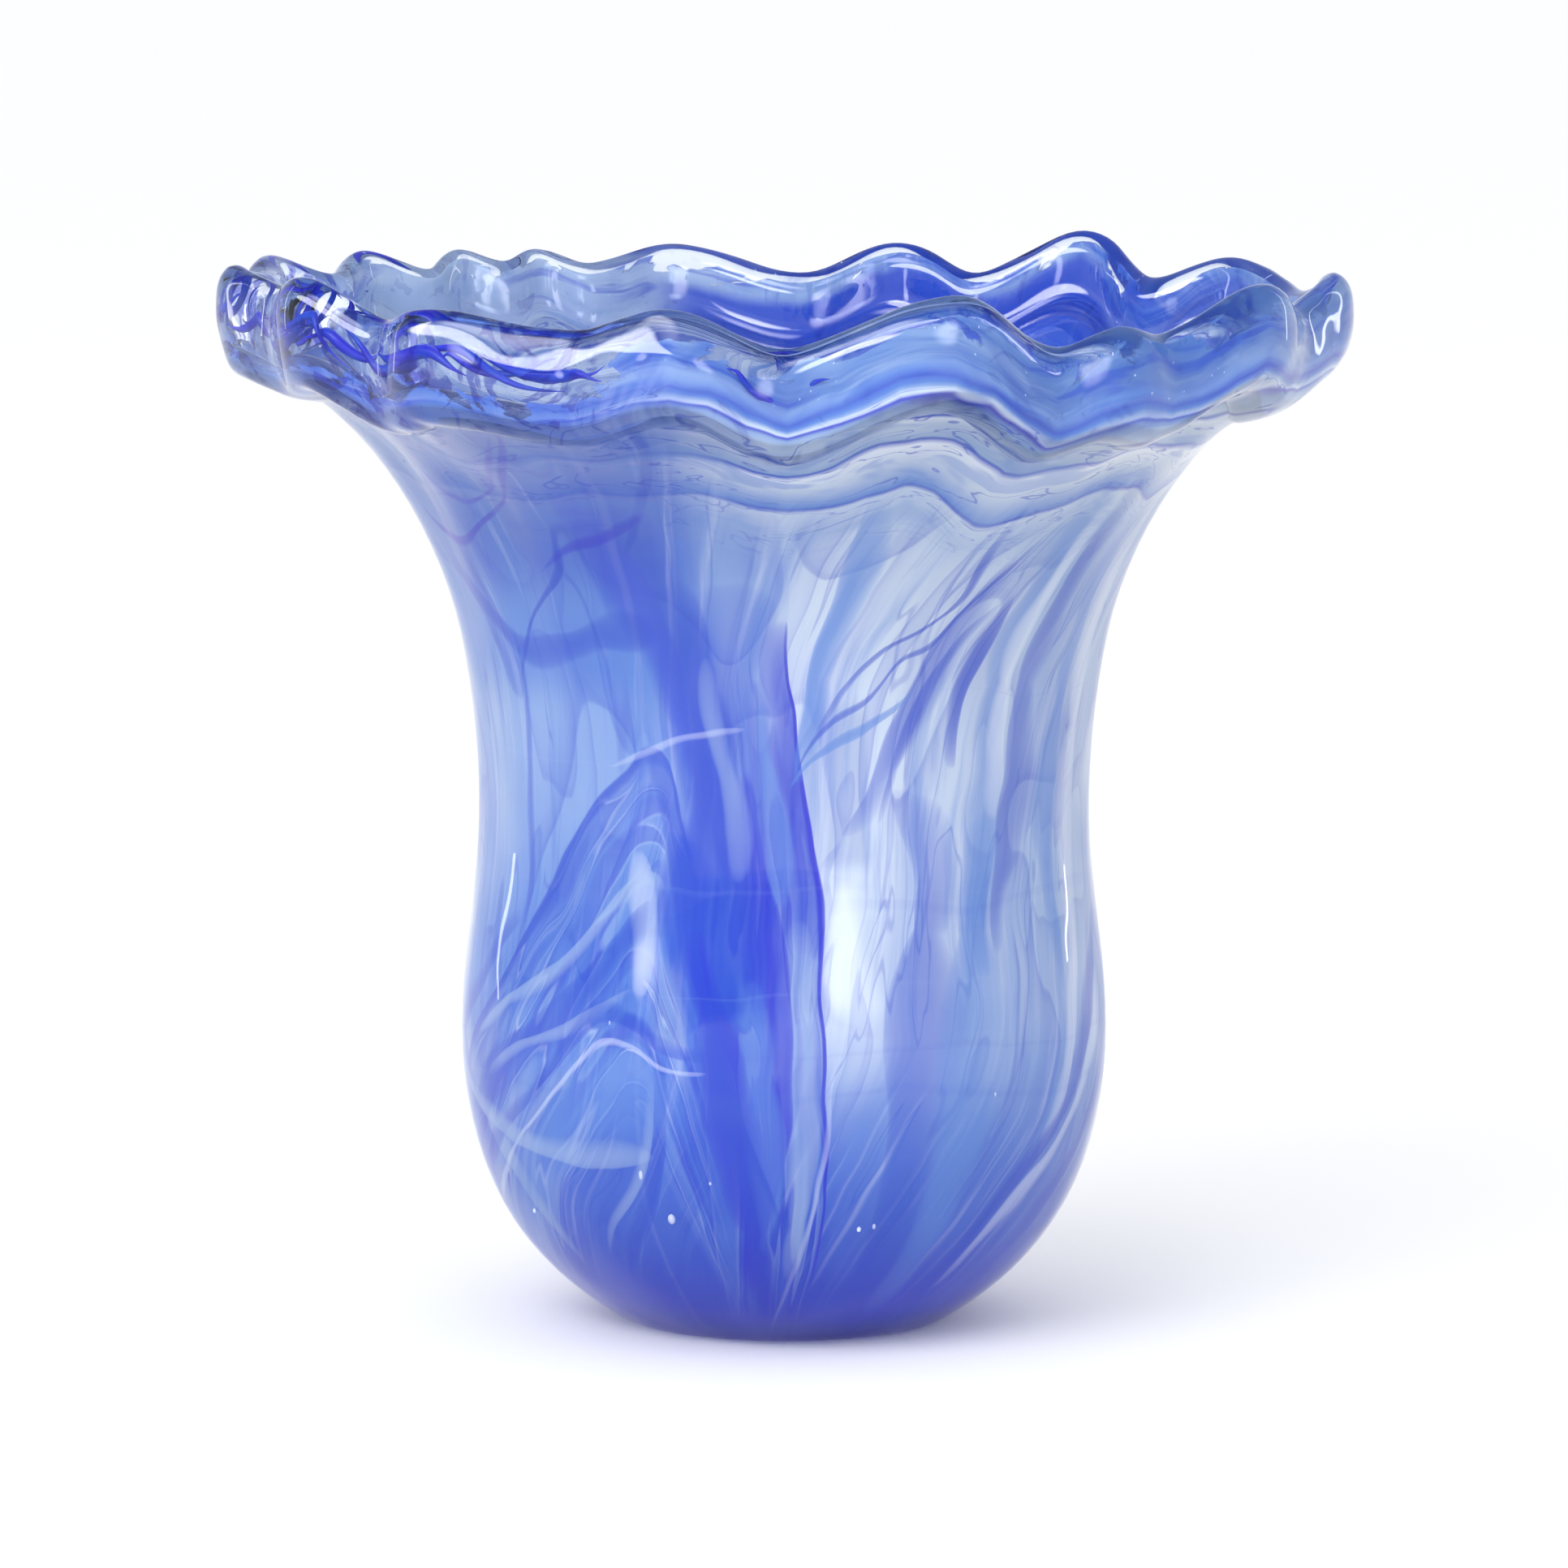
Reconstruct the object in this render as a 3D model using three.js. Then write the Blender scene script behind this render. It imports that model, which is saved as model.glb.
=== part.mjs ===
// Ruffled bowl in cased art glass, as a glassblower builds it up: an opal bubble streaked with cobalt, a clear
// casing gathered over it, a thick clear band wound round the lip, and the polished seal that the punty iron left
// under the foot. The lip is crimped into lobes by hand, so no two are alike.
// Millimetres, +Z up. The origin is the centre of the foot's resting face, and the front faces -Y.
import * as THREE from 'three';

// Outside of the bowl
const FOOT_RADIUS = 38;
const BELLY_RADIUS = 73.5;
const BELLY_HEIGHT = 63;
const WAIST_RADIUS = 68;
const WAIST_HEIGHT = 120;
const LIP_RADIUS = 122.5; // edge of the wall, between a crest and a trough
const HEIGHT = 236.5; // top of the band, between a crest and a trough
const FLANGE = 6; // width of the level stretch that the wall ends in, under the band

// Glass thicknesses, and the clearance between two layers
const CASING_WALL = 2.9;
const BUBBLE_WALL = 2.9;
const CASING_BASE = 4.6;
const BUBBLE_BASE = 4.2;
const FLOOR_CORNER = 8; // width of the rounded corner between a layer's floor and its wall
const LAYER_GAP = 0.3;

// Lip band
const BAND_HEIGHT = 17.5;
const BAND_THICKNESS = 9.4;
const BAND_OVERHANG = 2; // how far the band stands proud of the edge of the wall
const BAND_CORNER = 4.2; // radius of its fire-polished edges

// Underside
const SEAL_RADIUS = 15;
const SEAL_THICKNESS = 1.8;
const SEAL_RECESS = 0.5; // the seal is ground a little shy of the resting face
const FOOT_EDGE = 1.2; // width of the ground bevels on either side of the resting face
const FOOT_BEVEL = 0.35; // and their height

// Crimping: how far each fold of the lip runs down into the wall
const CRIMP_START = 170;
const FLUTE_START = 40; // shallow flutes go on from the folds down to here
const FLUTE_SHARE = 0.12;
const TROUGH_SHARPNESS = 0.15; // 0 makes troughs as round as crests, 1 makes them creases

// One row for each lobe, anticlockwise seen from above: its crest and the trough after it, each as
// [degrees round from the front, how far out of the mean lip, how far above it]
const LOBES = [
  { crest: [-11.5, 3.0, 3.5], trough: [0.0, -5.0, -7.0] },
  { crest: [17.5, 3.0, 7.0], trough: [30.0, -4.5, -7.0] },
  { crest: [37.5, 0.0, -2.5], trough: [45.5, -4.5, -5.5] },
  { crest: [57.0, 5.0, 6.0], trough: [71.0, -2.0, -3.0] },
  { crest: [85.0, 5.0, 4.0], trough: [102.0, 1.5, -3.5] },
  { crest: [121.5, 3.5, 3.0], trough: [131.5, -5.0, -4.0] },
  { crest: [144.0, 3.0, 7.5], trough: [156.0, -6.0, -4.5] },
  { crest: [166.5, 2.0, 3.5], trough: [178.0, -6.0, -5.0] },
  { crest: [193.0, 2.0, 3.0], trough: [203.5, -4.0, -2.0] },
  { crest: [209.5, 1.0, 2.5], trough: [214.5, -2.5, -0.5] },
  { crest: [219.5, 2.0, 3.0], trough: [226.0, -4.0, -1.5] },
  { crest: [234.0, 3.0, 4.0], trough: [243.0, -3.0, -1.0] },
  { crest: [254.0, 4.0, 5.0], trough: [265.5, -1.5, 2.0] },
  { crest: [278.0, 5.0, 6.0], trough: [290.5, -3.0, 2.0] },
  { crest: [302.0, 4.0, 7.0], trough: [311.5, -4.0, -2.5] },
  { crest: [321.0, 3.0, 1.5], trough: [337.0, -4.0, -3.0] },
];
const COLUMNS_PER_SLOPE = 3; // mesh columns between a crest and the next trough
const COLUMNS = LOBES.length * 2 * COLUMNS_PER_SLOPE;

const SEAT_HEIGHT = HEIGHT - BAND_HEIGHT - LAYER_GAP; // top of the wall's level stretch, where the band sits
const BUBBLE_DEPTH = CASING_WALL + LAYER_GAP; // from the outside of the casing to the outside of the bubble
const WALL = BUBBLE_DEPTH + BUBBLE_WALL;

// Crests and troughs in turn, closed by a copy of the first one a full turn on
const extremes = LOBES.flatMap(({ crest, trough }) => [crest, trough]).map(([degrees, out, up]) => ({
  azimuth: THREE.MathUtils.degToRad(degrees),
  out,
  up,
}));
extremes.push({ ...extremes[0], azimuth: extremes[0].azimuth + 2 * Math.PI });

// Where the crimped lip lies at a turn of the lathe: every slope of a lobe takes the same share of the turn,
// so that narrow lobes get as many mesh columns as wide ones.
function lipAt(turn) {
  const slopes = extremes.length - 1;
  const place = THREE.MathUtils.euclideanModulo(turn / (2 * Math.PI), 1) * slopes;
  const slope = Math.min(Math.floor(place), slopes - 1);
  const from = extremes[slope];
  const to = extremes[slope + 1];
  const along = place - slope;
  const climbing = slope % 2 === 1; // a trough comes first
  const fromTrough = climbing ? along : 1 - along;
  const round = (1 - Math.cos(Math.PI * fromTrough)) / 2;
  const sharp = Math.sin((Math.PI / 2) * fromTrough);
  const rise = THREE.MathUtils.lerp(round, sharp, TROUGH_SHARPNESS);
  const share = climbing ? rise : 1 - rise;
  return {
    azimuth: THREE.MathUtils.lerp(from.azimuth, to.azimuth, along),
    out: THREE.MathUtils.lerp(from.out, to.out, share),
    up: THREE.MathUtils.lerp(from.up, to.up, share),
  };
}

// How much of the lip's crimping reaches the glass at a height of the uncrimped bowl
function crimpShare(height) {
  const folds = THREE.MathUtils.smoothstep(height, CRIMP_START, SEAT_HEIGHT);
  const flutes = THREE.MathUtils.smoothstep(height, FLUTE_START, SEAT_HEIGHT);
  return THREE.MathUtils.lerp(FLUTE_SHARE * flutes, 1, folds);
}

// The lathe cuts every quad along the diagonal that leans from the end of one column to the start of the next.
// Where a profile runs inwards or down, this turns the diagonal round, so that two layers that follow each other
// are cut alike and keep their clearance where the crimping twists them.
function turnDiagonals(geometry, profile) {
  const index = geometry.getIndex();
  const rows = profile.length - 1;
  for (let quad = 0; quad < index.count / 6; quad += 1) {
    const row = quad % rows;
    const run = profile[row + 1].clone().sub(profile[row]);
    if (run.x + run.y < 0) {
      const [a, b, d, c] = [0, 1, 2, 3].map((corner) => index.getX(6 * quad + corner));
      [a, b, c, a, c, d].forEach((vertex, corner) => index.setX(6 * quad + corner, vertex));
    }
  }
}

// Spins a profile of [radius, height] points into a closed solid, and crimps it
function blow(profile) {
  const geometry = new THREE.LatheGeometry(profile, COLUMNS);
  turnDiagonals(geometry, profile);
  geometry.rotateX(Math.PI / 2);
  const position = geometry.getAttribute('position');
  for (let i = 0; i < position.count; i += 1) {
    const radius = Math.hypot(position.getX(i), position.getY(i));
    const height = position.getZ(i);
    const lip = lipAt(Math.atan2(position.getX(i), -position.getY(i)));
    const share = crimpShare(height);
    const crimped = radius > 0 ? radius + share * lip.out : 0;
    position.setXYZ(
      i,
      crimped * Math.sin(lip.azimuth),
      -crimped * Math.cos(lip.azimuth),
      height + share * lip.up,
    );
  }
  return geometry;
}

// The outside of the wall from the foot to the lip: full at the belly, drawn in at the waist, then flared like a
// trumpet until it is level under the band
const flareEnd = new THREE.Vector2(LIP_RADIUS - FLANGE, SEAT_HEIGHT - WALL);
const wallOutline = [
  {
    steps: 4,
    curve: new THREE.CubicBezierCurve(
      new THREE.Vector2(FOOT_RADIUS, FOOT_BEVEL),
      new THREE.Vector2(FOOT_RADIUS + 18, FOOT_BEVEL + 7.5),
      new THREE.Vector2(BELLY_RADIUS, 0.53 * BELLY_HEIGHT),
      new THREE.Vector2(BELLY_RADIUS, BELLY_HEIGHT),
    ),
  },
  {
    steps: 3,
    curve: new THREE.CubicBezierCurve(
      new THREE.Vector2(BELLY_RADIUS, BELLY_HEIGHT),
      new THREE.Vector2(BELLY_RADIUS, THREE.MathUtils.lerp(BELLY_HEIGHT, WAIST_HEIGHT, 0.45)),
      new THREE.Vector2(WAIST_RADIUS, THREE.MathUtils.lerp(BELLY_HEIGHT, WAIST_HEIGHT, 0.58)),
      new THREE.Vector2(WAIST_RADIUS, WAIST_HEIGHT),
    ),
  },
  {
    steps: 6,
    curve: new THREE.CubicBezierCurve(
      new THREE.Vector2(WAIST_RADIUS, WAIST_HEIGHT),
      new THREE.Vector2(WAIST_RADIUS, THREE.MathUtils.lerp(WAIST_HEIGHT, flareEnd.y, 0.48)),
      new THREE.Vector2(THREE.MathUtils.lerp(WAIST_RADIUS, flareEnd.x, 0.4), flareEnd.y - 2),
      flareEnd,
    ),
  },
  {
    steps: 1,
    curve: new THREE.LineCurve(flareEnd, new THREE.Vector2(LIP_RADIUS, flareEnd.y)),
  },
];

// The wall's outline set in by a depth along its normals, from the foot to the lip. The first step is left out of
// a layer that is set in, because the base is thicker than the wall and closes over it.
function wallAt(depth) {
  const points = [];
  for (const { steps, curve } of wallOutline) {
    const first = points.length === 0 && depth === 0 ? 0 : 1;
    for (let step = first; step <= steps; step += 1) {
      const point = curve.getPoint(step / steps);
      const along = curve.getTangent(step / steps);
      points.push(new THREE.Vector2(point.x - depth * along.y, point.y + depth * along.x));
    }
  }
  return points;
}

// A flat floor, which a rounded corner joins to the wall above it
function floorAt(height, wall) {
  return [new THREE.Vector2(0, height), new THREE.Vector2(wall[0].x - FLOOR_CORNER, height)];
}

function glass(name, geometry, color, roughness, opacity) {
  const material = new THREE.MeshStandardMaterial({
    color,
    roughness,
    metalness: 0,
    transparent: opacity < 1,
    opacity,
  });
  const mesh = new THREE.Mesh(geometry, material);
  mesh.name = name;
  return mesh;
}

function clearCasing() {
  const outside = wallAt(0);
  const inside = wallAt(CASING_WALL);
  const recessRadius = SEAL_RADIUS + LAYER_GAP;
  const recessTop = SEAL_RECESS + SEAL_THICKNESS + LAYER_GAP;
  const underside = [
    new THREE.Vector2(0, recessTop),
    new THREE.Vector2(recessRadius, recessTop),
    new THREE.Vector2(recessRadius, FOOT_BEVEL),
    new THREE.Vector2(recessRadius + FOOT_EDGE, 0),
    new THREE.Vector2(FOOT_RADIUS - FOOT_EDGE, 0),
  ];
  const floor = floorAt(CASING_BASE, inside);
  const profile = [...underside, ...outside, ...inside.reverse(), ...floor.reverse()];
  return glass('clear_casing', blow(profile), 0xdfe8f6, 0.04, 0.35);
}

function opalBubble() {
  const outside = wallAt(BUBBLE_DEPTH);
  const inside = wallAt(WALL);
  const bottom = floorAt(CASING_BASE + LAYER_GAP, outside);
  const floor = floorAt(CASING_BASE + LAYER_GAP + BUBBLE_BASE, inside);
  const profile = [...bottom, ...outside, ...inside.reverse(), ...floor.reverse()];
  return glass('opal_bubble', blow(profile), 0x6f8ae0, 0.08, 1);
}

function lipBand() {
  const outer = LIP_RADIUS + BAND_OVERHANG;
  const inner = outer - BAND_THICKNESS;
  const bottom = HEIGHT - BAND_HEIGHT;
  const path = new THREE.Path();
  path.moveTo(inner + BAND_CORNER, bottom);
  path.lineTo(outer - BAND_CORNER, bottom);
  path.absarc(outer - BAND_CORNER, bottom + BAND_CORNER, BAND_CORNER, -Math.PI / 2, 0);
  path.absarc(outer - BAND_CORNER, HEIGHT - BAND_CORNER, BAND_CORNER, 0, Math.PI / 2);
  path.absarc(inner + BAND_CORNER, HEIGHT - BAND_CORNER, BAND_CORNER, Math.PI / 2, Math.PI);
  path.absarc(inner + BAND_CORNER, bottom + BAND_CORNER, BAND_CORNER, Math.PI, 1.5 * Math.PI);
  const profile = path.getPoints(2).filter((point, i, all) => i === 0 || point.distanceTo(all[i - 1]) > 0.01);
  profile[profile.length - 1] = profile[0].clone();
  return glass('lip_band', blow(profile), 0xc3d2ef, 0.04, 0.35);
}

// The punty's seal lies flat under the foot, out of reach of the crimping
function puntySeal() {
  const profile = [
    new THREE.Vector2(0, SEAL_RECESS + 0.4),
    new THREE.Vector2(0.6 * SEAL_RADIUS, SEAL_RECESS + 0.2),
    new THREE.Vector2(SEAL_RADIUS - 0.6, SEAL_RECESS),
    new THREE.Vector2(SEAL_RADIUS, SEAL_RECESS + 0.6),
    new THREE.Vector2(SEAL_RADIUS, SEAL_RECESS + SEAL_THICKNESS),
    new THREE.Vector2(0, SEAL_RECESS + SEAL_THICKNESS),
  ];
  return glass('punty_seal', blow(profile), 0xc3d2ef, 0.05, 0.35);
}

const bowl = new THREE.Group();
bowl.name = 'ruffled_bowl';
bowl.add(opalBubble(), clearCasing(), lipBand(), puntySeal());

export default bowl;
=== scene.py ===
# %% [markdown]
# # A ruffled bowl in cased art glass
#
# The real bowl is one lump of glass that was built up from gathers: a milky bubble streaked with
# cobalt, a clear casing over it, and a thick clear band round the crimped lip. This lesson gives each
# of those layers its looks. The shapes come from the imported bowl, so the work here is to round them
# off, sink the layers into each other so that they read as fused, and then to paint the streaks with
# nodes.

import math

import bpy
import numpy as np
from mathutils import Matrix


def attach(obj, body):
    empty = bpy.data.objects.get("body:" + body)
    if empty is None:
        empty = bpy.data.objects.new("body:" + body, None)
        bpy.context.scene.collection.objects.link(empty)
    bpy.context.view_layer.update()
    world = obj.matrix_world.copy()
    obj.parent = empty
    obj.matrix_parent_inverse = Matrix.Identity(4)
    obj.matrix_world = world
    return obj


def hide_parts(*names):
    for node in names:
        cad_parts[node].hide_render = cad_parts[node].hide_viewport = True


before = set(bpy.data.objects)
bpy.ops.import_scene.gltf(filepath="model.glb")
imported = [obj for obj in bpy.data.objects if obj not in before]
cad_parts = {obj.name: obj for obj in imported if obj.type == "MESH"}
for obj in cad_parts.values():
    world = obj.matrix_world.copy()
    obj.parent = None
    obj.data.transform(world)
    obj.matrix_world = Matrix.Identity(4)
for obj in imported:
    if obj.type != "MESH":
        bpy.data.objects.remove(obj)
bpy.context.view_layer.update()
MM = 0.001
print("nodes:", sorted(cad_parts))

# %% [markdown]
# ## Copying a layer
#
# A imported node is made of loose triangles. A copy of it is merged first, then its triangles are joined
# back into the quads that it was spun from, because subdivision rounds quads evenly and pinches
# triangles. Everything is deselected before a piece is touched, since an operator acts on all that is
# selected.


# %% Helpers that copy a layer and pick its corners by place
def only(piece):
    if bpy.context.object and bpy.context.object.mode != "OBJECT":
        bpy.ops.object.mode_set(mode="OBJECT")
    bpy.ops.object.select_all(action="DESELECT")
    piece.select_set(True)
    bpy.context.view_layer.objects.active = piece


def copy_layer(node, name):
    piece = bpy.data.objects.new(name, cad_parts[node].data.copy())
    bpy.context.scene.collection.objects.link(piece)
    only(piece)
    bpy.ops.object.mode_set(mode="EDIT")
    bpy.ops.mesh.select_all(action="SELECT")
    bpy.ops.mesh.remove_doubles(threshold=0.01 * MM)
    bpy.ops.mesh.tris_convert_to_quads(face_threshold=math.pi, shape_threshold=math.pi)
    bpy.ops.object.mode_set(mode="OBJECT")
    piece.data.materials.clear()
    print(name, "copied:", len(piece.data.polygons), "faces")
    return piece


def read_corners(piece, what):
    values = np.empty(3 * len(piece.data.vertices))
    piece.data.vertices.foreach_get(what, values)
    return values.reshape(-1, 3)


def corners(piece):
    return read_corners(piece, "co")


def corner_normals(piece):
    return read_corners(piece, "normal")


def move_corners(piece, places):
    piece.data.vertices.foreach_set("co", places.ravel())
    piece.data.update()


def distance_out(places):
    """How far each place is from the bowl's axis"""
    return np.hypot(places[:, 0], places[:, 1])


def select_corners(piece, chosen):
    only(piece)
    bpy.ops.object.mode_set(mode="EDIT")
    bpy.ops.mesh.select_mode(type="VERT")
    bpy.ops.mesh.select_all(action="DESELECT")
    bpy.ops.object.mode_set(mode="OBJECT")
    piece.data.vertices.foreach_set("select", np.asarray(chosen, dtype=bool))
    bpy.ops.object.mode_set(mode="EDIT")


def turn_of(places):
    """Degrees round the bowl from the front, positive to the right"""
    return np.degrees(np.arctan2(places[:, 0], -places[:, 1]))


# %% [markdown]
# ## The lip's own line
#
# Streaks near the lip follow its ruffles, so every layer needs to know how far below the lip each of
# its points is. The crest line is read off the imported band: at each turn round the bowl, its highest
# corner.

# %% Measure the lip
band_places = corners(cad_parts["lip_band"])
band_turns = np.round(turn_of(band_places), 2)
lip_turns = np.unique(band_turns)
lip_turns = lip_turns[np.append(True, np.diff(lip_turns) > 0.1)]
column = np.abs(band_turns[:, None] - lip_turns[None]).argmin(axis=1)
columns = range(len(lip_turns))


def middle_of_columns(values):
    return np.array([(values[column == i].max() + values[column == i].min()) / 2 for i in columns])


lip_tops = np.array([band_places[column == i, 2].max() for i in columns])
lip_middles = middle_of_columns(band_places[:, 2])
lip_radii = middle_of_columns(distance_out(band_places))
print("lip columns:", len(lip_turns), "tops:", lip_tops.min().round(4), "to", lip_tops.max().round(4))


def at_turn(turns, values):
    return np.interp(turns, lip_turns, values, period=360)


# the crest with its ruffles evened out, as the bands lie lower down the wall
EVENED_OVER = 12  # degrees to either side
evening = np.linspace(-EVENED_OVER, EVENED_OVER, 9)
evened_tops = np.mean([at_turn(lip_turns + offset, lip_tops) for offset in evening], axis=0)

# %% [markdown]
# ## What each layer keeps for its material
#
# A material can't see the lip, so two numbers are stored on each layer's corners for it to read.
# `below_lip` is the distance below the lip, which lets a band of colour follow the ruffles. `inside`
# tells the wall's inner side from its outer one.

# %% Attributes for the materials
RUFFLES_FADE_FROM = 12  # mm below the lip, where the bands start to flatten out
RUFFLES_FADE_OVER = 30
FLATTEST = 0.7


def keep(piece, name, values):
    piece.data.attributes.new(name, "FLOAT", "POINT").data.foreach_set("value", values)


def keep_distance_below_lip(piece):
    """mm below the lip: close to it, each ruffle counts, and lower down they flatten out"""
    places = corners(piece)
    turns = turn_of(places)
    close = (at_turn(turns, lip_tops) - places[:, 2]) / MM
    even = (at_turn(turns, evened_tops) - places[:, 2]) / MM
    flatness = np.clip((close - RUFFLES_FADE_FROM) / RUFFLES_FADE_OVER, 0, FLATTEST)
    keep(piece, "below_lip", close + (even - close) * flatness)
    print(piece.name, "finished:", len(piece.data.polygons), "faces")


def outwardness(places, normals):
    """How squarely each normal points away from the bowl's axis"""
    return (normals[:, :2] * places[:, :2]).sum(axis=1) / np.maximum(distance_out(places), MM)


def keep_inside(piece):
    """1 on the wall's inner side, which faces the bowl's axis or up, and 0 outside"""
    normals = corner_normals(piece)
    facing_up = np.maximum(normals[:, 2], 0) * 0.6
    keep(piece, "inside", np.clip(0.5 - 2.5 * (outwardness(corners(piece), normals) - facing_up), 0, 1))


# %% [markdown]
# ## Finishing a layer
#
# Blown glass has no flat facets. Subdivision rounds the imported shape, and a slow swell in the surface
# stands for the unevenness of hand work. A finished layer then rides on the bowl's one body and stands
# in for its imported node.


# %% Helpers that finish a layer
def apply_subdivision(piece, levels):
    only(piece)
    rounding = piece.modifiers.new("rounding", "SUBSURF")
    rounding.levels = levels
    rounding.render_levels = levels
    bpy.ops.object.modifier_apply(modifier="rounding")


def apply_unevenness(piece, name, size, strength):
    texture = bpy.data.textures.new(name, "CLOUDS")
    texture.noise_scale = size
    texture.noise_depth = 1
    wave = piece.modifiers.new(name, "DISPLACE")
    wave.texture = texture
    wave.texture_coords = "LOCAL"
    wave.strength = strength
    wave.mid_level = 0.5
    bpy.ops.object.modifier_apply(modifier=name)


def finish_piece(piece, material, node):
    only(piece)
    bpy.ops.object.shade_smooth()
    keep_distance_below_lip(piece)
    piece.data.materials.append(material)
    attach(piece, "root")
    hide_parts(node)


# %% [markdown]
# ## Shader maths as Python
#
# A streak is a lot of small sums on coordinates. `Value` wraps a node's output so that +, -, * and /
# add the Math nodes, and `Recipe.node` adds any other node: its settings first, then its inputs, each a
# number or a link.


# %% A wrapped socket and a recipe for a material
class Value:
    def __init__(self, recipe, socket):
        self.recipe = recipe
        self.socket = socket

    def math(self, operation, first, second=0.0):
        return self.recipe.node("Math", {"operation": operation}, {0: first, 1: second})

    def __add__(self, other):
        return self.math("ADD", self, other)

    def __sub__(self, other):
        return self.math("SUBTRACT", self, other)

    def __rsub__(self, other):
        return self.math("SUBTRACT", other, self)

    def __mul__(self, other):
        return self.math("MULTIPLY", self, other)

    def __truediv__(self, other):
        return self.math("DIVIDE", self, other)

    __radd__ = __add__
    __rmul__ = __mul__

    def absolute(self):
        return self.math("ABSOLUTE", self)

    def fraction(self):
        return self.math("FRACT", self)


class Recipe:
    def __init__(self, name):
        self.material = bpy.data.materials.new(name)
        self.material.use_nodes = True
        self.tree = self.material.node_tree
        self.tree.nodes.clear()

    def node(self, kind, settings=(), inputs=(), output=0):
        node = self.tree.nodes.new("ShaderNode" + kind)
        for key, value in dict(settings).items():
            if key == "stops":
                set_stops(node.color_ramp, value)
            elif key == "points":
                set_points(node.mapping, value)
            else:
                setattr(node, key, value)
        for key, value in dict(inputs).items():
            if isinstance(value, Value):
                self.tree.links.new(value.socket, node.inputs[key])
            else:
                node.inputs[key].default_value = value
        return None if output is None else Value(self, node.outputs[output])

    def rise(self, value, low, high):
        settings = {"interpolation_type": "SMOOTHSTEP"}
        return self.node("MapRange", settings, {"Value": value, "From Min": low, "From Max": high})

    def curve(self, value, points):
        """A float curve through (0 to 1, 0 to 1) points"""
        return self.node("FloatCurve", {"points": points}, {"Value": value})

    def place(self):
        """Where a point is on the bowl, in metres"""
        return self.node("TexCoord", output="Object")

    def noise(self, vector, detail=2.0, roughness=0.5, distortion=0.0, scale=1.0):
        inputs = {
            "Vector": vector,
            "Scale": scale,
            "Detail": detail,
            "Roughness": roughness,
            "Distortion": distortion,
        }
        return self.node("TexNoise", inputs=inputs)

    def blend(self, amount, under, over):
        settings = {"data_type": "RGBA"}
        return self.node("Mix", settings, {0: amount, 6: under, 7: over}, output=2)

    def finish(self, shader):
        self.node("OutputMaterial", inputs={"Surface": shader}, output=None)
        print(self.material.name, "has", len(self.tree.nodes), "nodes")
        return self.material


def set_stops(ramp, stops):
    while len(ramp.elements) < len(stops):
        ramp.elements.new(1)
    for element, (position, colour) in zip(ramp.elements, stops):
        element.position = position
        element.color = colour


def set_points(mapping, points):
    mapping.extend = "HORIZONTAL"
    curve = mapping.curves[0]
    while len(curve.points) < len(points):
        curve.points.new(1, 1)
    for point, place in zip(curve.points, points):
        point.location = place
    mapping.update()


def paint(red, green, blue):
    def linear(part):
        part = part / 255
        return part / 12.92 if part <= 0.04045 else ((part + 0.055) / 1.055) ** 2.4

    return (linear(red), linear(green), linear(blue), 1.0)


# %% [markdown]
# ## The palette
#
# Milk glass greys towards blue as the cobalt thins out in it, so the palette is a walk from white
# through haze and sky to cobalt and to ink, where the glass is too thick to see into.

# %% The colours of the glass
MILK = paint(196, 207, 219)
HAZE = paint(152, 174, 204)
SKY = paint(84, 127, 197)
COBALT = paint(0, 60, 182)
INK = paint(0, 14, 184)
VIOLET = paint(48, 78, 192)
WHITE = paint(232, 236, 240)
STEEL = paint(86, 122, 182)
ASH = paint(138, 154, 192)

# %% [markdown]
# ## Where the glass is, in a blower's terms
#
# Streaks are placed by their turn round the bowl, in degrees from the front and positive to the right,
# and by their height in millimetres. Both wander with a soft noise, as streaks do when hot glass sags.
# Blown glass is also drawn out and twisted, so the fine threads follow a lean that grows towards the
# foot and fans out towards the lip.


# %% Coordinates on the wall
CURVE_TURN = 360.0  # the turn that a float curve's 0 to 1 stands for
CURVE_HEIGHT = 260.0  # and the height
CURVE_LIP = 60.0  # and the mm below the lip that a ramp's 0 to 1 stands for
MM_PER_TURN = 1.26 * CURVE_TURN  # mm round the belly
# the slow and the quick wander: the noise's scale and detail, and how far it carries a streak in
# degrees, in mm of height and in mm below the lip
SLOW = {"scale": 22.0, "detail": 1.0, "turn": 9.0, "rise": 12.0, "lip": 16.0}
QUICK = {"scale": 70.0, "detail": 0.6, "turn": 1.7, "rise": 2.6, "lip": 3.0}
UPRIGHT_POINT = 22.0  # mm over which a streak that runs up comes to its point
LYING_POINT = 9.0  # degrees, for one that runs round
FOOT_LEAN = [(0, -34), (30, -17), (60, -4), (95, 0), (260, 0)]  # degrees of lean at a height in mm
NECK_LEAN = [(0, 0), (105, 0), (135, 3), (160, 10), (190, 28), (215, 48), (260, 75)]


def as_turn_share(turn):
    return turn / CURVE_TURN + 0.5


def as_height_share(height):
    return height / CURVE_HEIGHT


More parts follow.
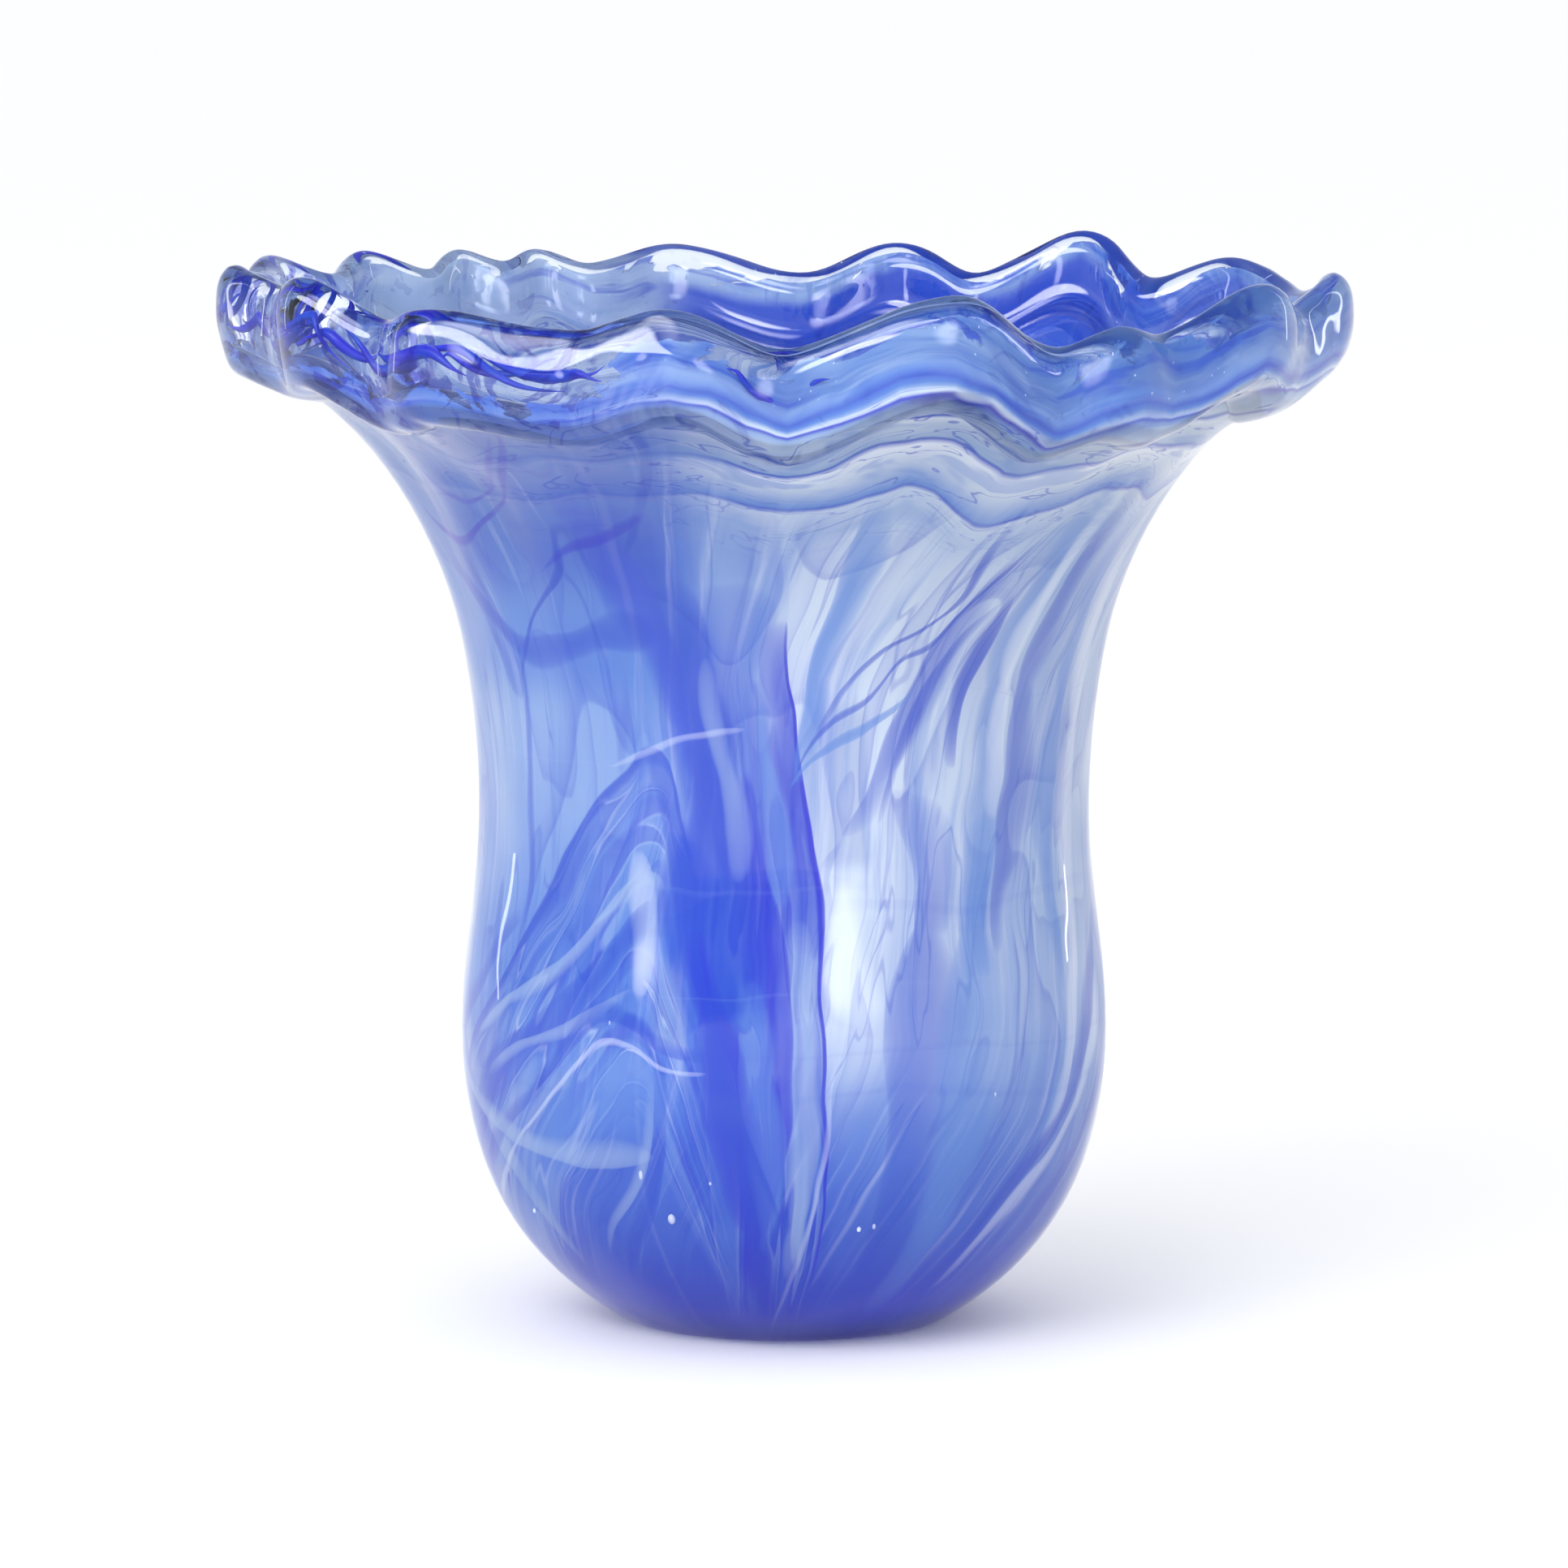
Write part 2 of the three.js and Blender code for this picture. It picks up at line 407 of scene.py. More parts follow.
class Wall:
    """The turn, height and distance below the lip of a point of the wall, in a recipe's nodes"""

    def __init__(self, recipe):
        self.recipe = recipe
        self.place = recipe.place()
        x, y, z = self.parts(self.place)
        self.radius = x.math("SQRT", x * x + y * y) / MM
        slow_turn, slow_rise, slow_lip = self.parts(self.wander(SLOW["scale"], SLOW["detail"]))
        quick_turn, quick_rise, quick_lip = self.parts(self.wander(QUICK["scale"], QUICK["detail"]))
        straight_turn = x.math("ARCTAN2", x, y * -1.0) * math.degrees(1)
        self.true_turn = straight_turn + slow_turn * SLOW["turn"] + quick_turn * QUICK["turn"]
        # the bold strokes were laid twice round the bubble, so the back repeats the front
        self.turn = (self.true_turn / 180.0 + 0.5).fraction() * 180.0 - 90.0
        self.front = 1 - recipe.rise(self.true_turn.absolute(), 84.0, 96.0)
        self.off_seam = 1 - recipe.rise(self.turn.absolute(), 80.0, 90.0)
        # a streak swells and thins along its way
        self.swell = 0.75 + slow_lip.absolute() * 4.0
        self.height = z / MM + slow_rise * SLOW["rise"] + quick_rise * QUICK["rise"]
        self.turn_share = as_turn_share(self.turn)
        self.true_turn_share = as_turn_share(self.true_turn)
        self.height_share = as_height_share(self.height)
        below = recipe.node("Attribute", {"attribute_name": "below_lip"}, output="Fac")
        self.below = below + slow_lip * SLOW["lip"] + quick_lip * QUICK["lip"]
        self.angle = self.true_turn * math.radians(1)
        # the neck's lean fans out: it is strongest on the right and turns over on the left
        side = self.angle.math("SINE", self.angle) * 0.65 + 0.35
        lean = self.by_height(FOOT_LEAN) + self.by_height(NECK_LEAN) * side
        self.flow_angle = self.angle - lean * math.radians(1)

    def parts(self, vector):
        return [self.recipe.node("SeparateXYZ", inputs={0: vector}, output=axis) for axis in range(3)]

    def wander(self, scale, detail):
        """A soft noise in three channels, each round nought"""
        inputs = {"Vector": self.place, "Scale": scale, "Detail": detail}
        colour = self.recipe.node("TexNoise", inputs=inputs, output="Color")
        return self.recipe.node("VectorMath", {"operation": "SUBTRACT"}, {0: colour, 1: (0.5, 0.5, 0.5)})

    def by_height(self, points, low=-100.0, high=100.0):
        """A number that depends on the height alone"""
        shares = [(as_height_share(height), (value - low) / (high - low)) for height, value in points]
        return self.recipe.curve(self.height_share, shares) * (high - low) + low

    def around(self, angle, across, up, start=0.0):
        """A vector for noise that closes up round the bowl"""
        inputs = {
            "X": angle.math("COSINE", angle) * across + start,
            "Y": angle.math("SINE", angle) * across,
            "Z": up,
        }
        return self.recipe.node("CombineXYZ", inputs=inputs)

    def band(self, value, low, high, soft_low, soft_high):
        """1 between low and high, falling away over a softness outside them"""
        rise = self.recipe.rise
        return rise(value, low - soft_low, low) * (1 - rise(value, high, high + soft_high))

    def streak(self, along, across, mm_across, points, softness, fade, strength):
        """A streak along a curve of (along, across) shares, with two edges of its own and pointed ends"""
        centre = self.recipe.curve(along, points)
        first, last = points[0][0], points[-1][0]
        ends = [(first, 0.03), (first + fade, 0.9), (last - fade, 0.9), (last, 0.03)]
        width = self.recipe.curve(along, ends)
        off = (across - centre) / (width * self.swell)
        before, after = softness
        inputs = {0: off, 1: mm_across / (before + after), 2: before / (before + after)}
        share = self.recipe.node("Math", {"operation": "MULTIPLY_ADD"}, inputs)
        peak = min(max(before / (before + after), 0.02), 0.98)
        profile = self.recipe.curve(share, [(0, 0), (peak, min(1.08 * strength, 1)), (1, 0)])
        # a little less than the width, so that nothing is left of the streak beyond its ends
        return profile * (width - 0.1)

    def upright(self, points, left, right, strength):
        """A streak that runs up the wall, through (turn, height) points"""
        shares = sorted((as_height_share(height), as_turn_share(turn)) for turn, height in points)
        fade = UPRIGHT_POINT / CURVE_HEIGHT
        softness = (left, right)
        along, across = self.height_share, self.turn_share
        return self.streak(along, across, MM_PER_TURN, shares, softness, fade, strength)

    def lying(self, points, below, above, strength):
        """A streak that runs round the wall, through (turn, height) points"""
        shares = sorted((as_turn_share(turn), as_height_share(height)) for turn, height in points)
        fade = LYING_POINT / CURVE_TURN
        softness = (below, above)
        along, across = self.turn_share, self.height_share
        return self.streak(along, across, CURVE_HEIGHT, shares, softness, fade, strength)

    def mass(self, turns, heights, soft_turns, soft_heights):
        """A broad patch between two turns and two heights, with an edge that wanders"""
        return self.band(self.turn, *turns, *soft_turns) * self.band(self.height, *heights, *soft_heights)


# %% [markdown]
# ## The streaks
#
# A glassblower lays cobalt on the milky bubble in a few bold strokes, and the rest comes from
# stretching. So the bold strokes are listed one by one, each with its colour, its strength and how softly
# it ends on either side: a veil that was folded over is crisp on one side and melts away on the other.
# The stretching is noise drawn out upwards.

# %% The broad masses
# (colour, strength, (from turn, to turn), (from height, to height), softness of the turns, of the heights)
MASSES = [
    (MILK, 0.95, (2, 30), (70, 186), (8, 26), (34, 22)),
    (MILK, 0.40, (40, 72), (84, 160), (8, 8), (24, 20)),
    (MILK, 0.20, (-80, -56), (84, 136), (8, 14), (30, 22)),
    (SKY, 0.45, (-60, -16), (90, 160), (14, 8), (20, 20)),
    (SKY, 0.85, (-78, -18), (158, 230), (10, 9), (16, 10)),
    (SKY, 0.90, (-78, -8), (-10, 84), (10, 8), (4, 40)),
    (SKY, 0.80, (14, 84), (-10, 40), (26, 6), (4, 46)),
    (COBALT, 0.60, (-72, 4), (-10, 44), (16, 10), (4, 44)),
    (COBALT, 0.55, (14, 84), (-10, 28), (24, 6), (4, 40)),
    (COBALT, 0.45, (-14, 3), (14, 92), (9, 4), (20, 60)),
    (COBALT, 0.45, (-60, -20), (182, 225), (12, 10), (14, 10)),
    # grey glass where the milk was torn open
    (ASH, 0.55, (6, 15), (114, 142), (4, 2), (6, 8)),
    (ASH, 0.55, (-16, -10), (118, 152), (3, 3), (8, 8)),
    (ASH, 0.75, (-23, -19), (74, 90), (3, 1.5), (3, 6)),
]

# %% The folds: parallel bands that follow one bold line
# the tent on the left of the belly, as (turn, height), and the blade down the middle of the front
TENT = [
    (-84, 56), (-62, 84), (-53, 101), (-43, 117), (-33, 131),
    (-27, 137), (-22, 125), (-15, 98), (-9, 62), (0, 30),
]
BLADE = [(0, 168), (1, 154), (3, 136), (4, 118), (7, 100), (8, 82), (9, 71), (9, 55), (8, 28), (6, 14)]
# the colours of the bands, each at its share of the noise
TENT_BANDS = [
    (0.33, COBALT), (0.38, SKY), (0.40, HAZE), (0.45, SKY), (0.462, MILK), (0.472, COBALT),
    (0.51, SKY), (0.55, COBALT), (0.585, INK), (0.595, HAZE), (0.61, SKY), (0.70, COBALT),
]
BLADE_BANDS = [
    (0.32, SKY), (0.39, COBALT), (0.41, INK), (0.42, HAZE), (0.47, SKY), (0.50, COBALT),
    (0.53, INK), (0.545, VIOLET), (0.58, SKY), (0.62, COBALT), (0.632, HAZE), (0.68, SKY),
]

# %% The bold strokes
# (colour, strength, points as (turn, height), softness to the left, to the right)
UPRIGHT_STROKES = [
    # veils on the left of the neck, and the dark one that hangs across them
    (COBALT, 0.55, [(-36, 200), (-28, 181), (-25, 172), (-22, 161), (-19, 140), (-15, 108)], 9, 12),
    (VIOLET, 0.75, [(-38, 200), (-30, 184), (-27, 176), (-24, 166), (-21, 152), (-18, 130)], 6, 3),
    (COBALT, 0.60, [(-17, 178), (-15, 145), (-13, 125), (-17, 90)], 12, 4),
    # the thin dark line that climbs through them
    (COBALT, 0.85, [(-56, 150), (-50, 163), (-45, 169), (-41, 176), (-39, 190)], 1.4, 0.8),
    (COBALT, 0.80, [(-27, 182), (-23, 192), (-20, 200), (-18, 208), (-15, 220)], 1.4, 0.8),
    (COBALT, 0.55, [(-57, 90), (-56, 125), (-54, 166)], 1.0, 1.0),
    # the folded veil down the middle of the front
    (COBALT, 0.55, [(-9, 178), (-10, 150), (-13, 120), (-12, 85), (-8, 50), (-3, 12)], 14, 12),
    (INK, 0.70, [(0, 168), (1, 154), (3, 136), (4, 118), (6, 104), (8, 92)], 10, 0.6),
    (COBALT, 0.35, BLADE, 7, 0.6),
    # the tent's right side, which runs on down to the foot
    (COBALT, 0.75, [(-28, 136), (-24, 125), (-20, 112), (-15, 101), (-12, 86), (-10, 70)], 5, 6),
    (INK, 0.80, [(-15, 101), (-11, 78), (-9, 66), (-7, 51), (-6, 38), (-4, 10)], 7, 3),
    # a painted highlight: the silvery window reflection on the tent's right flank, laid as a soft milky
    # streak
    (MILK, 0.60, [(-29, 114), (-27, 103), (-26, 95), (-27, 84)], 5.0, 3.0),
    (INK, 0.95, BLADE, 0.9, 0.5),
    (INK, 0.75, [(-7, 132), (-5, 112), (-1, 100), (1, 89), (2, 75), (2, 59), (-2, 40), (-8, 14)], 7, 0.8),
    (COBALT, 0.60, [(-12, 150), (-13, 120), (-11, 96), (-13, 70), (-8, 40), (-6, 10)], 1.2, 6),
    (WHITE, 0.28, [(11, 66), (8, 42), (4, 26), (-4, 6)], 1.6, 0.6),
    # lighter glass that shows between the folds
    (HAZE, 0.60, [(3, 100), (5, 86), (6, 70), (6, 55), (4, 38), (1, 20)], 4.5, 3.0),
    (HAZE, 0.50, [(-14, 158), (-13, 138), (-10, 122), (-9, 108)], 3.0, 3.5),
    (SKY, 0.65, [(-4, 148), (-3, 130), (-1, 115), (0, 102)], 3.5, 2.0),
    (SKY, 0.55, [(-5, 90), (-3, 66), (-2, 48), (-4, 26)], 5.0, 3.0),
    # lower left: the swirl that hooks down to the foot
    (COBALT, 0.75, [(-22, 74), (-22, 58), (-23, 46), (-29, 30), (-38, 18)], 5, 1.4),
    (HAZE, 0.55, [(-24, 66), (-25, 50), (-30, 38), (-40, 24)], 3.0, 0.8),
    (HAZE, 0.60, [(-84, 78), (-74, 56), (-63, 39), (-52, 20)], 1.4, 8),
    # thin streaks on the right of the neck
    (SKY, 0.85, [(13, 200), (10, 178), (7, 165), (5, 150), (2, 130)], 1.4, 7),
    (COBALT, 0.80, [(42, 204), (35, 184), (31, 170), (24, 164), (17, 158), (6, 140)], 1.0, 2.2),
    (COBALT, 0.70, [(40, 180), (33, 168), (28, 160), (25, 150), (20, 137), (10, 118)], 1.2, 9),
    (COBALT, 0.65, [(40, 170), (33, 160), (28, 152), (25, 143), (18, 122)], 0.9, 3.0),
    (COBALT, 0.95, [(43, 172), (40, 158), (37, 149), (34, 132)], 5, 0.9),
    (SKY, 0.65, [(56, 204), (48, 172), (44, 150), (42, 120), (40, 85)], 5, 3),
    (COBALT, 0.60, [(68, 208), (55, 176), (50, 155), (47, 130), (43, 90)], 1.4, 6),
    (SKY, 0.70, [(78, 208), (67, 178), (62, 150), (60, 120), (62, 80)], 5, 1.4),
    (WHITE, 0.50, [(64, 208), (52, 176), (47, 156), (44, 120)], 4, 1.6),
    (WHITE, 0.42, [(82, 200), (75, 176), (70, 150), (70, 115), (66, 80), (56, 46)], 6, 2),
    # lower right: streaks that sweep in under the belly
    (COBALT, 0.75, [(82, 96), (68, 64), (56, 46), (47, 32), (36, 8)], 7, 1.2),
    (COBALT, 0.65, [(88, 80), (77, 54), (66, 36), (52, 10)], 5, 2.0),
    (WHITE, 0.40, [(78, 82), (64, 53), (53, 38), (40, 14)], 1.6, 5),
    (COBALT, 0.55, [(22, 130), (28, 106), (25, 90), (22, 70), (23, 40), (17, 8)], 4, 10),
    (SKY, 0.65, [(42, 122), (38, 90), (34, 66), (34, 40), (24, 8)], 6, 7),
]
# the pale wave on the left of the belly, and the blue one that rides on it
PALE_WAVE = [(-80, 32), (-56, 50), (-47, 61), (-39, 70), (-34, 74), (-29, 73), (-22, 68), (-14, 67)]
BLUE_WAVE = [(-80, 37), (-56, 55), (-47, 66), (-39, 75), (-34, 79), (-29, 78), (-22, 72), (-12, 70)]
# (colour, strength, points as (turn, height), softness below, above)
LYING_STROKES = [
    (COBALT, 0.32, TENT, 26, 1.4),
    (COBALT, 0.75, TENT, 4.0, 0.9),
    (WHITE, 0.28, [(-36, 132), (-27, 138), (-21, 140), (-14, 140), (-7, 141)], 2.0, 0.6),
    (COBALT, 0.70, [(-72, 180), (-58, 165), (-50, 158), (-42, 159), (-34, 164), (-24, 166)], 5, 4),
    # thin loops under the lip
    (INK, 0.70, [(-44, 176), (-37, 184), (-31, 186), (-21, 192)], 0.9, 1.2),
    (INK, 0.85, [(-76, 192), (-66, 184), (-60, 184), (-52, 190), (-43, 202), (-34, 216)], 1.6, 1.0),
    (INK, 0.75, [(-72, 208), (-62, 197), (-56, 194), (-50, 198), (-38, 212)], 1.0, 1.0),
    # the bands that lie across the tent
    (COBALT, 0.65, [(-78, 50), (-56, 71), (-43, 82), (-36, 90), (-30, 98), (-25, 103)], 11, 3),
    (HAZE, 0.6, [(-72, 68), (-58, 81), (-48, 89), (-37, 100), (-31, 106), (-27, 109), (-23, 106)], 4, 0.6),
    (HAZE, 0.50, [(-68, 60), (-56, 70), (-39, 79), (-29, 86)], 3, 0.6),
    (COBALT, 0.60, [(-86, 66), (-76, 74), (-66, 88), (-58, 98)], 1.5, 8),
    (COBALT, 0.60, [(-88, 36), (-78, 41), (-68, 54), (-60, 60)], 1.5, 7),
    # the waves, with a soft shade under them
    (WHITE, 0.34, PALE_WAVE, 1.3, 0.6),
    (COBALT, 0.60, BLUE_WAVE, 1.0, 4.5),
    (SKY, 0.50, [(-80, 27), (-56, 45), (-47, 56), (-39, 66), (-34, 70), (-29, 69), (-18, 62)], 22, 2),
    (HAZE, 0.55, [(-84, 60), (-66, 49), (-54, 45), (-41, 45), (-24, 48)], 1.2, 5),
    # the lines on the right of the neck
    (COBALT, 0.75, [(0, 120), (9, 143), (16, 147), (22, 157), (27, 160), (33, 168), (46, 186)], 0.8, 1.2),
    (SKY, 0.85, [(0, 128), (10, 139), (16, 141), (26, 150)], 0.9, 1.2),
]


# %% [markdown]
# ## The milky bubble
#
# The colour is built up from the milk outwards: broad masses first, then folded veils and drawn-out
# threads, then the parallel folds and the bold strokes, and last the bands that follow the ruffles
# under the lip. The same colour goes right through the wall, so it shows on the inside too.

# %% The bands under the lip, the veils and the threads
# (mm below the lip, colour) of the bands that follow the ruffles
# the white band at 32 mm is a painted highlight line along the ruffles; the other bands are the glass's
# own streaks
CONTOURS = [
    (0.0, STEEL), (12.5, STEEL), (15.0, SKY), (16.8, COBALT), (18.0, SKY), (18.6, HAZE),
    (19.6, WHITE), (20.2, INK), (21.2, HAZE), (24.0, MILK), (24.6, COBALT), (25.2, WHITE),
    (26.4, MILK), (30.0, HAZE), (30.6, COBALT), (32.0, WHITE), (36.0, MILK), (41.0, SKY),
    (41.6, COBALT), (42.4, MILK), (48.0, HAZE), (60.0, HAZE),
]
# (start of the noise, turns, rise per mm, strength) of the folded veils
VEILS = [(5.0, 1.7, 0.0085, 0.36), (13.0, 3.2, 0.0105, 0.26)]
# (start of the noise, turns, low, high, colour, strength) of the drawn-out threads
THREADS = [
    (11.0, 9.0, 0.48, 0.70, SKY, 0.50),
    (17.0, 26.0, 0.55, 0.70, COBALT, 0.24),
    (23.0, 19.0, 0.53, 0.72, WHITE, 0.22),
]
# how strong the arcs of cobalt inside the back are, by the turn
ARCS = [
    (-180, 0.9), (-174, 0.9), (-163, 0.12), (-110, 0.08), (-90, 0.4),
    (90, 0.5), (125, 0.55), (150, 0.95), (180, 0.95),
]
# a folded veil of colour climbs slowly and drops at once
FOLD = [(0.0, 0.0), (0.45, 0.08), (0.90, 0.7), (0.955, 1.0), (0.985, 0.1), (1.0, 0.0)]


def veils(recipe, wall, colour):
    for start, across, up, strength in VEILS:
        soft = recipe.noise(wall.around(wall.flow_angle, across, wall.height * up, start), 1.5, 0.5, 0.9)
        depth = recipe.curve((soft * 5.0).fraction(), FOLD)
        colour = recipe.blend(depth * strength, colour, COBALT)
    return colour


def threads(recipe, wall, colour):
    for start, across, low, high, tint, strength in THREADS:
        along = wall.around(wall.flow_angle, across, wall.height * 0.011, start)
        drawn = recipe.noise(along, 4.0, 0.62, 0.4)
        colour = recipe.blend(recipe.rise(drawn, low, high) * strength, colour, tint)
    hair = recipe.noise(wall.around(wall.flow_angle, 6.5, wall.height * 0.012, 29.0), 2.0, 0.5, 0.6)
    line = 1 - recipe.rise((hair - 0.5).absolute(), 0.002, 0.014)
    return recipe.blend(line * 0.32, colour, COBALT)


def folds(recipe, wall, colour):
    """Bands that run beside the tent and beside the blade, each a noise of the distance from its line"""
    line = [(as_turn_share(turn), as_height_share(height)) for turn, height in TENT]
    tent = recipe.curve(wall.turn_share, line)
    drop = (wall.height_share - tent) * CURVE_HEIGHT
    spot = recipe.node("CombineXYZ", inputs={"X": drop * 0.055, "Y": wall.turn * 0.022, "Z": 3.0})
    bands = recipe.node("ValToRGB", {"stops": TENT_BANDS}, {0: recipe.noise(spot, 2.0, 0.5, 0.3)})
    inside = wall.band(drop, -62.0, -1.0, 26.0, 1.2) * wall.band(wall.turn, -74.0, -18.0, 12.0, 9.0)
    colour = recipe.blend(inside * 0.38, colour, bands)
    line = sorted((as_height_share(height), as_turn_share(turn)) for turn, height in BLADE)
    blade = recipe.curve(wall.height_share, line)
    aside = (wall.turn_share - blade) * MM_PER_TURN
    spot = recipe.node("CombineXYZ", inputs={"X": aside * 0.10, "Y": wall.height * 0.010, "Z": 9.0})
    bands = recipe.node("ValToRGB", {"stops": BLADE_BANDS}, {0: recipe.noise(spot, 2.5, 0.55, 0.5)})
    inside = wall.band(aside, -22.0, -0.5, 12.0, 0.6) * wall.band(wall.height, 26.0, 128.0, 24.0, 34.0)
    return recipe.blend(inside * 0.50, colour, bands)


def contours(recipe, wall, colour):
    stops = [(below / CURVE_LIP, tint) for below, tint in CONTOURS]
    bands = recipe.node("ValToRGB", {"stops": stops}, {0: wall.below / CURVE_LIP})
    # a pale stretch inside the back's left, which the rest is drawn over
    pale_side = wall.band(wall.true_turn, -170.0, -124.0, 8.0, 18.0)
    pale = pale_side * wall.band(wall.below, 4.0, 26.0, 4.0, 28.0)
    colour = recipe.blend(pale * 0.75, colour, MILK)
    under_lip = 1 - recipe.rise(wall.below, 36.0, 58.0)
    to_the_right = 0.15 + 0.75 * recipe.rise(wall.turn, -20.0, 0.0) * wall.front
    colour = recipe.blend(under_lip * to_the_right, colour, bands)
    flow = recipe.noise(wall.around(wall.angle, 2.2, wall.below * 0.16, 61.0), 3.0, 0.6, 0.7)
    fine = recipe.rise(wall.below, 14.0, 20.0) * (1 - recipe.rise(wall.below, 30.0, 62.0))
    colour = recipe.blend(recipe.rise(flow, 0.52, 0.60) * fine * 0.45, colour, SKY)
    hair = 1 - recipe.rise((flow - 0.47).absolute(), 0.003, 0.012)
    colour = recipe.blend(hair * fine * 0.6, colour, COBALT)
    # haze and cobalt drawn along the tongue of colour inside the lip
    tongue = 1 - recipe.rise(wall.below, 13.0, 18.0)
    colour = recipe.blend(recipe.rise(flow, 0.46, 0.62) * tongue * 0.55, colour, HAZE)
    colour = recipe.blend((1 - recipe.rise(flow, 0.38, 0.47)) * tongue * 0.55, colour, COBALT)
    # the arcs of cobalt behind the lobes, fainter on the back's left
    arcs = wall.band(wall.below, 9.0, 17.0, 4.0, 24.0) * (1 - wall.front)
    weight = recipe.curve(wall.true_turn_share, [(as_turn_share(turn), share) for turn, share in ARCS])
    return recipe.blend(arcs * weight, colour, COBALT)


# %% Colour of the streaked glass
def streaked_colour(recipe, wall):
    cloud = recipe.noise(wall.around(wall.flow_angle, 1.6, wall.height * 0.012, 0.0), 2.0, 0.5, 0.4)
    colour = recipe.blend(recipe.rise(cloud, 0.36, 0.66) * 0.55, HAZE, SKY)
    for tint, strength, turns, heights, soft_turns, soft_heights in MASSES:
        patch = wall.mass(turns, heights, soft_turns, soft_heights) * wall.off_seam
        colour = recipe.blend(patch * strength, colour, tint)
    colour = threads(recipe, wall, veils(recipe, wall, colour))
    foot = 1 - recipe.rise(wall.height, 4.0, 52.0)
    colour = recipe.blend(foot * 0.85, colour, COBALT)
    clean = colour
    colour = folds(recipe, wall, colour)
    for tint, strength, points, left, right in UPRIGHT_STROKES:
        colour = recipe.blend(wall.upright(points, left, right, strength), colour, tint)
    for tint, strength, points, below, above in LYING_STROKES:
        colour = recipe.blend(wall.lying(points, below, above, strength), colour, tint)
    colour = recipe.blend(wall.off_seam, clean, colour)
    # the middle of the floor is one dense pool, so that nothing runs together at the axis
    pool = 1 - recipe.rise(wall.radius, 12.0, 36.0)
    depth = recipe.rise(recipe.noise(wall.wander(30.0, 2.0), 2.0), 0.4, 0.6)
    colour = recipe.blend(pool * 0.9, colour, recipe.blend(depth, INK, COBALT))
    sole = 1 - recipe.rise(wall.height, 2.0, 34.0)
    colour = recipe.blend(sole * 0.7, colour, INK)
    return contours(recipe, wall, colour)


# %% [markdown]
# Only the inside of the bubble meets the air, so only the inside is glossy. Outside, the casing over it
# has the gloss. Up in the lip the bubble thins to a torn tongue of colour, which its alpha tears away
# in patches.


# %% Streaked opal glass
FARTHEST = 20.0  # mm below the lip that the reach's curve goes to
RAGGEDNESS = 24.0  # mm by which the noise tears the tongue's edge
# how near the lip the tongue of colour reaches, in mm, by the turn
REACH = [
    (-180, 2), (-125, 3), (-102, 9), (-86, 18), (-34, 17),
    (-14, 9), (20, 5), (70, 4), (100, 2), (180, 2),
]


def streaked_opal():
    recipe = Recipe("streaked_opal")
    wall = Wall(recipe)
    colour = streaked_colour(recipe, wall)
    inside = recipe.node("Attribute", {"attribute_name": "inside"}, output="Fac")
    shares = [(as_turn_share(turn), reached / FARTHEST) for turn, reached in REACH]
    reach = recipe.curve(wall.true_turn_share, shares)
    tear = recipe.noise(wall.around(wall.angle, 6.0, wall.below * 0.10, 51.0), 3.0, 0.6, 1.2) - 0.5
    alpha = recipe.rise(wall.below - reach * FARTHEST + tear * RAGGEDNESS, 0.0, 1.2)
    inputs = {
        "Base Color": colour,
        "Roughness": 0.35,
        "Specular IOR Level": 0.1,
        "Coat Weight": inside,
        "Coat Roughness": 0.04,
        "Alpha": alpha,
        "Emission Color": colour,
        # the emission is a painted glow in the glass's own colour: it stands in for light passing through
        # the milk and lifts the shade, most near the foot
        "Emission Strength": 0.10,  # a little light that milk glass passes on from behind
    }
    return recipe.finish(recipe.node("BsdfPrincipled", inputs=inputs))


OPAL = streaked_opal()

# %% [markdown]
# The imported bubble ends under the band. Its rim is picked by its distance below the lip and extruded
# upwards twice, which makes the tongue, and each ring of the tongue is then drawn in towards the middle
# of the roll, so that it grows thin.

# %% Shape of the streaked bubble
RIM = 18.2  # mm below the lip: the corners above this are the rim
TONGUE_STEPS = (5, 10)  # mm of the two extrusions
TONGUE = 21.5  # mm below the lip: the corners above this are drawn in
ROLL_REACH = 6  # mm in from the roll's middle that they may lie
# how much of the wall's thickness is left, by the mm below the lip
THINNING = [(3, 0.10), (12.9, 0.20), (17.8, 0.32), (21, 0.38)]

bubble = copy_layer("opal_bubble", "streaked_bubble")
places = corners(bubble)
rim = at_turn(turn_of(places), lip_tops) - places[:, 2] < RIM * MM
select_corners(bubble, rim)
bpy.ops.mesh.select_mode(type="FACE")
for step in TONGUE_STEPS:
    bpy.ops.mesh.extrude_region_move(TRANSFORM_OT_translate={"value": (0, 0, step * MM)})
bpy.ops.object.mode_set(mode="OBJECT")
print("corners of the bubble's rim:", int(rim.sum()), "with the tongue:", len(bubble.data.vertices))

places = corners(bubble)
turns = turn_of(places)
radii = distance_out(places)
middle = at_turn(turns, lip_radii)
below = (at_turn(turns, lip_tops) - places[:, 2]) / MM
share = np.interp(below, *zip(*THINNING))
tongue = (below < TONGUE) & (radii > middle - ROLL_REACH * MM)
thinned = np.where(tongue, middle + (radii - middle) * share, radii)
places[:, :2] *= (thinned / np.maximum(radii, MM))[:, None]
move_corners(bubble, places)
apply_subdivision(bubble, 2)
keep_inside(bubble)
finish_piece(bubble, OPAL, "opal_bubble")

# %% [markdown]
# ## The clear casing
#
# The casing is real glass over the milk: light bends at its outside and falls on the bubble with
# nothing between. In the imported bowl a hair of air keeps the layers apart. Here the casing's inner wall
# is moved into the bubble, so that no air gap shows as a silvery rim. Shadow rays pass through clear
# glass, which keeps the light on the bubble even.


